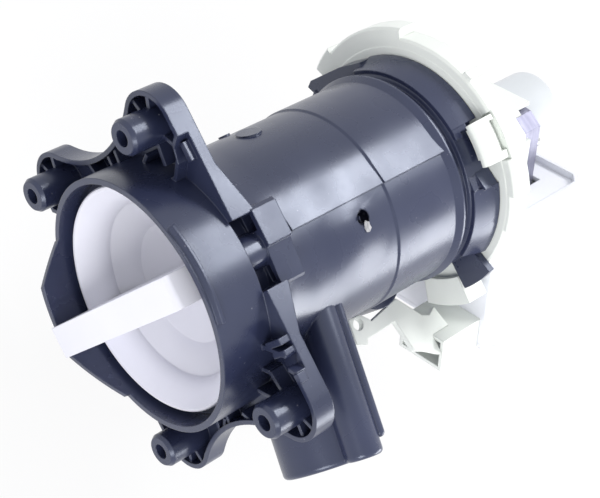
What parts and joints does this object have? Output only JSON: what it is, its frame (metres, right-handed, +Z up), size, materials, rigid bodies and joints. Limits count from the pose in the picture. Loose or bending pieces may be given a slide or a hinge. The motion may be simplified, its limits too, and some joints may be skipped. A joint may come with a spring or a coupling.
{
  "type": "drain pump",
  "caption": "Washing machine drain pump: filter housing with a screw-out filter and grip bar, mounting bosses, hose outlets and a synchronous motor behind a bayonet cover.",
  "frame": {"origin": "centre of the four mounting bosses, on the pump axis, in the plane of their front faces", "axes": "+X towards the hose outlets, +Y along the pump axis from the filter opening to the motor, +Z up"},
  "size_m": [0.1324, 0.1995, 0.1191],
  "materials": {
    "navy_plastic": "navy-black moulded plastic, half gloss",
    "cap_white": "white plastic, faintly blue",
    "motor_white": "greenish white plastic",
    "housing_white": "white plastic",
    "can_white": "white plastic, slightly see-through look",
    "seal_rubber": "black rubber",
    "steel": "plain steel",
    "ferrite": "dark grey ferrite",
    "bronze": "dull bronze",
    "lamination": "lilac grey coated sheet steel",
    "copper": "enamelled copper wire"
  },
  "bodies": {
    "housing": {"filter_housing": "navy_plastic", "pump_cover": "motor_white", "cover_seal": "seal_rubber", "front_bearing": "bronze", "front_bearing_mount": "seal_rubber", "rear_bearing": "bronze", "rear_bearing_mount": "seal_rubber", "rotor_can": "can_white", "stator_core": "lamination", "core_yoke": "lamination", "core_rivets": "steel", "upper_bobbin": "motor_white", "lower_bobbin": "motor_white", "upper_winding": "copper", "lower_winding": "copper", "thermal_cutout": "steel", "coil_housing": "housing_white", "coil_lid": "housing_white", "connector_shroud": "motor_white", "terminal_blades": "steel", "cable_bracket": "motor_white", "motor_screws": "steel"},
    "seal_ring": {"cap_seal": "seal_rubber"},
    "filter": {"filter_cap": "cap_white", "filter_basket": "cap_white"},
    "catch": {"lock_catch": "motor_white"},
    "rotor": {"rotor_shaft": "steel", "rotor_core": "cap_white", "rotor_magnet": "ferrite", "drive_dog": "steel", "thrust_washers": "bronze"},
    "impeller": {"impeller": "cap_white", "dog_bumper": "seal_rubber"}
  },
  "joints": [
    {"name": "cap_slide", "type": "slide", "parent": "housing", "child": "seal_ring", "axis": [0, -1, 0], "range_m": [0, 0.004]},
    {"name": "cap_turn", "type": "hinge", "parent": "seal_ring", "child": "filter", "pos_m": [0, 0, 0], "axis": [0, -1, 0], "range_deg": [0, 90]},
    {"name": "rotor_spin", "type": "hinge", "parent": "housing", "child": "rotor", "pos_m": [0, 0.15, 0], "axis": [0, 1, 0], "continuous": true},
    {"name": "impeller_play", "type": "hinge", "parent": "rotor", "child": "impeller", "pos_m": [0, 0.1, 0], "axis": [0, -1, 0], "range_deg": [0, 200]},
    {"name": "catch_flex", "type": "hinge", "parent": "housing", "child": "catch", "pos_m": [0.003, 0.1212, 0.0438], "axis": [-1, 0, 0], "range_deg": [0, 8], "stiffness_Nm_per_rad": 0.3}
  ],
  "couplings": [
    {"joint": "cap_slide", "follows": "cap_turn", "m_per_rad": 0.002546}
  ]
}
